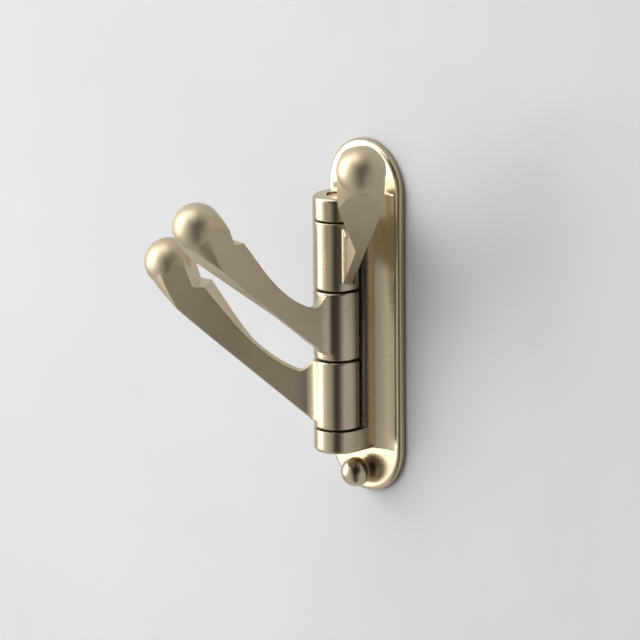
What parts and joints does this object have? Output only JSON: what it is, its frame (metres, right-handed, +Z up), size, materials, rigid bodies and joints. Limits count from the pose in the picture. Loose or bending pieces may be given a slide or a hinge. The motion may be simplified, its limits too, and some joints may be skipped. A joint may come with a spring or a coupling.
{
  "type": "swivel wall hook",
  "caption": "Swivel wall hook in antique brass: stadium back plate with a pinned stack of swinging arms, each with a ball tip and a notch.",
  "frame": {"origin": "centre of the back plate's rear face, on the wall", "axes": "+Z up along the plate's long axis, -Y out of the wall, +X to the right as seen from the room"},
  "size_m": [0.1061, 0.1014, 0.127],
  "materials": {
    "cast_brass": "satin",
    "nut_brass": "satin",
    "pin_metal": "satin",
    "washer_plastic": "matte",
    "bolt_steel": "satin"
  },
  "bodies": {
    "bracket": {"wall_bracket": "cast_brass", "pivot_pin": "pin_metal", "bottom_washer": "washer_plastic", "lower_washer": "washer_plastic", "upper_washer": "washer_plastic", "top_washer": "washer_plastic", "lower_cap_nut": "nut_brass", "upper_cap_nut": "nut_brass", "lower_hanger_bolt": "bolt_steel", "upper_hanger_bolt": "bolt_steel"},
    "top": {"top_arm": "cast_brass"},
    "middle": {"middle_arm": "cast_brass"},
    "lower": {"lower_arm": "cast_brass"}
  },
  "joints": [
    {"name": "top_swivel", "type": "hinge", "parent": "bracket", "child": "top", "pos_m": [0, -0.01407, 0.0226], "axis": [0, 0, 1], "range_deg": [-148, 39]},
    {"name": "middle_swivel", "type": "hinge", "parent": "bracket", "child": "middle", "pos_m": [0, -0.01407, 0], "axis": [0, 0, 1], "range_deg": [-88, 99]},
    {"name": "lower_swivel", "type": "hinge", "parent": "bracket", "child": "lower", "pos_m": [0, -0.01407, -0.0226], "axis": [0, 0, 1], "range_deg": [-36, 151]}
  ]
}
